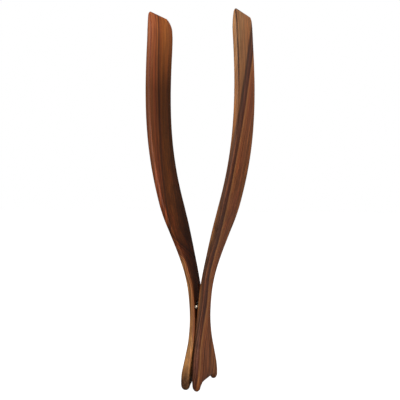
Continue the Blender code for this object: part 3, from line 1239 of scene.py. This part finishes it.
    def _shape(self, bm: bmesh.types.BMesh) -> None:
        """Bends the board to its S, thins the tip, and leaves the faint unevenness of hand sanding.

        Args:
            bm: the flat board.
        """
        for vert in bm.verts:
            across, height, through = vert.co
            middle, share = self._section(across, height)
            outward = through * share * self._foot_share(across, height)
            if through > 0:
                outward -= self.crown * (across / self.belly_half_width) ** 2
            through_grain = self.side.value * 5.0 + outward * self.sanding_across
            place = (across * self.sanding_across, height * self.sanding_along, through_grain)
            sanding = noise.noise(Vector(place))
            outward -= self.sanding_depth * (1 + sanding) * math.copysign(1.0, through)
            vert.co = (self.side.value * (middle + outward), across, height)

    def _mark_rims(self, mesh: bpy.types.Mesh) -> None:
        """Marks how near each point is to the edges, to the front edge's right arris, and to the throat, for
        the wood's edge wear and painted edge highlight, its painted arris shade line and its painted throat
        shade.

        Args:
            mesh: the shaped arm's mesh.
        """
        rims, arrises, throats = [], [], []
        arris_inset = self.edge_rounding * (1 - math.sqrt(0.5))
        low, high = self.half_width.stations[0][0], self.half_width.stations[-1][0]
        for vert in mesh.vertices:
            x, across, height = vert.co
            middle, share = self._section(across, height)
            half = self.belly_half_width if height > high else self.half_width(max(height, low))
            to_side = min(half - abs(across), self._tip_height(across) - height)
            to_face = self.thickness * share / 2 - abs(self.side.value * x - middle)
            rims.append(1.0 - math.hypot(to_side, to_face) / self.edge_rounding)
            # the arris mark places the painted shade line
            nearness = 1.0 - math.hypot(to_side - arris_inset, to_face - arris_inset) / self.arris_shade_width
            on_arris = across < 0 and x > self.side.value * middle
            arrises.append(nearness if on_arris else 0.0)
            sunk = (middle - self.side.value * x) / (self.thickness * share / 2)
            inner = (sunk - self.inner_start) / (1.0 - self.inner_start)
            # the throat mark places painted shade
            throats.append(min(inner, 1.0) * level_value(self.throat_shade_heights, height))
        for name, marks in (("rim", rims), ("arris", arrises), ("throat", throats)):
            attribute = mesh.attributes.new(name, "FLOAT", "POINT")
            attribute.data.foreach_set("value", np.clip(marks, 0.0, 1.0).astype(np.float32))


@dataclass
class Tongs:
    """The whole tool: two arms and the sprung hinge between them."""

    hinge: Hinge
    arms: tuple[Arm, Arm]
    pin_steel: SteelFinish
    spring_steel: SteelFinish

    def _add(self, obj: bpy.types.Object, slot: SlotName, *nodes: str) -> bpy.types.Object:
        """Hides the CAD nodes that a piece stands for, and logs the piece's faces.

        Args:
            obj: the piece.
            slot: its slot; not used.
            nodes: the nodes that it replaces.

        Returns:
            The piece.
        """
        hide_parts(*nodes)
        LOG.info("%s: %d faces", obj.name, len(obj.data.polygons))
        return obj

    def build(self) -> None:
        """Builds every piece, and ties the arms, the pin and the staples to their bodies."""
        for arm in self.arms:
            piece = self._add(arm.build(), SlotName.WOOD, f"{arm.side.label}_arm")
            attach(piece, arm.side.body)
        self._build_hinge()

    def _build_hinge(self) -> None:
        """Builds the pin, the spring and the staples."""
        bright, drawn = self.pin_steel.make(), self.spring_steel.make()
        pin = self._add(self.hinge.build_pin(), SlotName.STEEL, "hinge_pin")
        pin.data.materials.append(bright)
        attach(pin, Side.LEFT.body)
        for side in Side:
            staple = self._add(self.hinge.build_staple(side), SlotName.STEEL, f"{side.label}_leg_staple")
            staple.data.materials.append(drawn)
            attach(staple, side.body)
        spring = self._add(self.hinge.build_spring(), SlotName.STEEL, "torsion_spring")
        spring.data.materials.append(drawn)
        start, end = (self.hinge.blend_point(side) for side in (Side.LEFT, Side.RIGHT))
        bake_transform(spring)


@dataclass(frozen=True)
class Softbox:
    """A square studio light."""

    name: str
    place: Place
    target: Place
    width: float
    watts: float
    colour: Colour = (1.0, 1.0, 1.0)

    def build(self) -> None:
        """Hangs the light and points it at its target."""
        light = bpy.data.lights.new(self.name, "AREA")
        light.size = self.width
        light.energy = self.watts
        light.color = self.colour
        obj = bpy.data.objects.new(self.name, light)
        obj.location = self.place
        aim = Vector(self.target) - Vector(self.place)
        obj.rotation_euler = aim.to_track_quat("-Z", "Y").to_euler()
        bpy.context.scene.collection.objects.link(obj)


@dataclass
class Studio:
    """A white table and background, soft lights and a level camera in front of the tongs."""

    camera_azimuth: float = math.radians(23.08)
    camera_distance: float = 0.4524
    camera_height: float = 0.1515
    lens: float = 49.365
    sensor_width: float = 36.0
    nearest: float = 0.01
    shift_x: float = -0.00075
    ambient: float = 0.15
    floor_half_width: float = 6.0
    floor_light: Colour = (0.34, 0.34, 0.34)
    floor_dark: Colour = (0.30, 0.30, 0.30)
    floor_glow: float = 0.97
    softboxes: tuple[Softbox, ...] = (
        Softbox("front_softbox", (0.15, -0.95, 0.50), (0.0, 0.0, 0.15), 0.60, 6.8),
        Softbox("right_softbox", (0.85, -0.35, 0.60), (0.0, 0.0, 0.16), 0.40, 5.2),
        Softbox("back_softbox", (-0.55, 0.80, 0.70), (0.0, 0.0, 0.15), 0.60, 3.0),
    )

    def build(self) -> None:
        """Builds the camera, the lights, the surroundings and the floor."""
        self._camera()
        for softbox in self.softboxes:
            softbox.build()
        self._surroundings()
        self._floor()
        bpy.context.scene.view_settings.view_transform = "Standard"

    def _camera(self) -> None:
        """A level camera, a little to the right of the front."""
        data = bpy.data.cameras.new("camera")
        data.lens = self.lens
        data.sensor_width = self.sensor_width
        data.shift_x = self.shift_x
        data.clip_start = self.nearest
        camera = bpy.data.objects.new("camera", data)
        angle = self.camera_azimuth
        across, towards = math.sin(angle), -math.cos(angle)
        camera.location = (across * self.camera_distance, towards * self.camera_distance, self.camera_height)
        camera.rotation_euler = (math.pi / 2, 0, angle)
        bpy.context.scene.collection.objects.link(camera)
        bpy.context.scene.camera = camera

    def _surroundings(self) -> None:
        """White to look at, and a softer grey as a light."""
        world = bpy.data.worlds.new("studio")
        world.use_nodes = True
        tree = world.node_tree
        background = tree.nodes["Background"]
        background.inputs["Color"].default_value = (1, 1, 1, 1)
        path = Shade(tree, tree.nodes.new("ShaderNodeLightPath").outputs["Is Camera Ray"])
        strength = path * (1.0 - self.ambient) + self.ambient
        tree.links.new(strength.socket, background.inputs["Strength"])
        bpy.context.scene.world = world

    def _floor(self) -> None:
        """A wide white table top under the tails."""
        bm = bmesh.new()
        bmesh.ops.create_grid(bm, x_segments=8, y_segments=8, size=self.floor_half_width)
        floor = new_object("table_top", bm)
        paint = Painter("white_table")
        place = paint.object_place()
        grain = paint.noise(place, detail=3.0, scale=40.0)
        colour = paint.mix(grain * 0.1, (*self.floor_light, 1), (*self.floor_dark, 1))
        paint.surface(Base_Color=colour, Roughness=0.9, Specular_IOR_Level=0.0)
        seen = paint.node("LightPath", output="Is Camera Ray")
        glow = paint.node("Emission", inputs={"Strength": self.floor_glow})
        plain = Shade(paint.tree, paint.shader.outputs[0])
        both = paint.node("AddShader", inputs={0: glow, 1: plain})
        mixed = paint.node("MixShader", inputs={0: seen, 1: plain, 2: both})
        out = paint.tree.nodes["Material Output"]
        paint.tree.links.new(mixed.socket, out.inputs["Surface"])
        floor.data.materials.append(paint.material)


def right_wood() -> WoodFinish:
    """The right arm's wood: golden in front of one dark, slanting growth layer, plain brown behind it.

    Returns:
        The finish.
    """
    return WoodFinish(
        name="right_arm_wood",
        layer_normal=(0.882, 0.434, -0.187),
        layers=(
            (-34.0, (0.37, 0.190, 0.092)),
            (-25.0, (0.37, 0.182, 0.080)),
            (-20.0, (0.34, 0.152, 0.064)),
            (-16.6, (0.33, 0.145, 0.058)),
            (-15.0, (0.31, 0.135, 0.054)),
            (-13.7, (0.085, 0.038, 0.022)),
            (-12.5, (0.090, 0.039, 0.024)),
            (-11.5, (0.160, 0.064, 0.036)),
            (-10.6, (0.130, 0.048, 0.027)),
            (-9.7, (0.068, 0.023, 0.014)),
            (-9.0, (0.100, 0.032, 0.017)),
            (-7.9, (0.370, 0.150, 0.052)),
            (-6.2, (0.290, 0.094, 0.033)),
            (-2.0, (0.225, 0.073, 0.029)),
            (4.0, (0.240, 0.086, 0.030)),
            (9.0, (0.320, 0.125, 0.040)),
            (16.0, (0.190, 0.066, 0.022)),
        ),
        shift=(3.1, 7.7, 1.3),
        bends=((0.010, -3.0), (0.034, -1.0), (0.060, -0.8), (0.095, 1.6), (0.130, 0.0)),
        top_paling=(1.05, 1.08, 1.10),
        top_paling_heights=(0.250, 0.300),
        tip_colour=(0.70, 0.60, 0.55),
        tip_heights=(0.003, 0.016),
        edge_wear_and_highlight=(1.50, 1.32, 1.10),
        # painted shade line along the front arris
        arris_shade_colour=(0.12, 0.10, 0.09),
        arris_shade_heights=(0.190, 0.245),
    )


def left_wood() -> WoodFinish:
    """The left arm's wood: reddish brown, with a thin dark line and golden wood towards its front edge.

    Returns:
        The finish.
    """
    return WoodFinish(
        name="left_arm_wood",
        layer_normal=(0.731, 0.682, 0.020),
        layers=(
            (-52.0, (0.33, 0.160, 0.060)),
            (-46.0, (0.38, 0.190, 0.070)),
            (-41.5, (0.37, 0.180, 0.066)),
            (-39.0, (0.26, 0.105, 0.043)),
            (-37.2, (0.18, 0.062, 0.027)),
            (-35.4, (0.14, 0.045, 0.019)),
            (-33.6, (0.20, 0.066, 0.024)),
            (-31.5, (0.19, 0.057, 0.020)),
            (-29.2, (0.18, 0.048, 0.017)),
            (-27.2, (0.13, 0.039, 0.014)),
            (-25.4, (0.18, 0.053, 0.015)),
            (-24.6, (0.052, 0.018, 0.008)),
            (-23.6, (0.062, 0.020, 0.008)),
            (-22.6, (0.140, 0.042, 0.010)),
            (-19.5, (0.135, 0.041, 0.009)),
            (-15.5, (0.175, 0.054, 0.012)),
            (-11.5, (0.112, 0.035, 0.009)),
            (-5.0, (0.105, 0.032, 0.007)),
            (6.0, (0.105, 0.032, 0.007)),
        ),
        shift=(1.9, 4.2, 8.6),
        bends=((0.078, -32.0), (0.098, -28.0), (0.128, 0.0)),
        top_paling=(2.75, 2.85, 3.10),
        top_paling_heights=(0.245, 0.296),
        tip_colour=(0.20, 0.18, 0.23),
        tip_heights=(0.008, 0.020),
        # strong brightening of the left edges: wear plus a painted highlight
        edge_wear_and_highlight=(1.68, 1.50, 1.45),
        tail_contrast=0.7,
        # painted shade line along the front arris
        arris_shade_colour=(0.40, 0.30, 0.26),
        arris_shade_heights=(0.215, 0.255),
    )


def main() -> None:
    """Builds the tongs and the studio."""
    logging.basicConfig(level=logging.INFO, format="%(name)s: %(message)s")
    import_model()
    Studio().build()
    hinge = Hinge()
    arms = (
        Arm(
            side=Side.LEFT,
            tip=(306.5 * MM, 309.0 * MM),
            corners=(3.8 * MM, 9.0 * MM),
            finish=left_wood(),
            hinge=hinge,
            foot_swell=((0.000, 1.0 * MM), (0.012, 1.1 * MM), (0.024, 0.5 * MM), (0.036, 0.0)),
        ),
        Arm(
            side=Side.RIGHT,
            tip=(299.0 * MM, 302.5 * MM),
            corners=(3.8 * MM, 3.8 * MM),
            finish=right_wood(),
            hinge=hinge,
        ),
    )
    pin_steel = SteelFinish("pin_steel", (0.84, 0.71, 0.55), 0.28, (3000, 400, 3000))
    # the spring wire's near-black is partly that of oil-tempered wire, partly painted shade for the coil in
    # the throat
    spring_steel = SteelFinish("spring_wire", (0.055, 0.048, 0.042), 0.48, (2500, 2500, 2500))
    Tongs(hinge, arms, pin_steel, spring_steel).build()


if __name__ == "__main__":
    main()
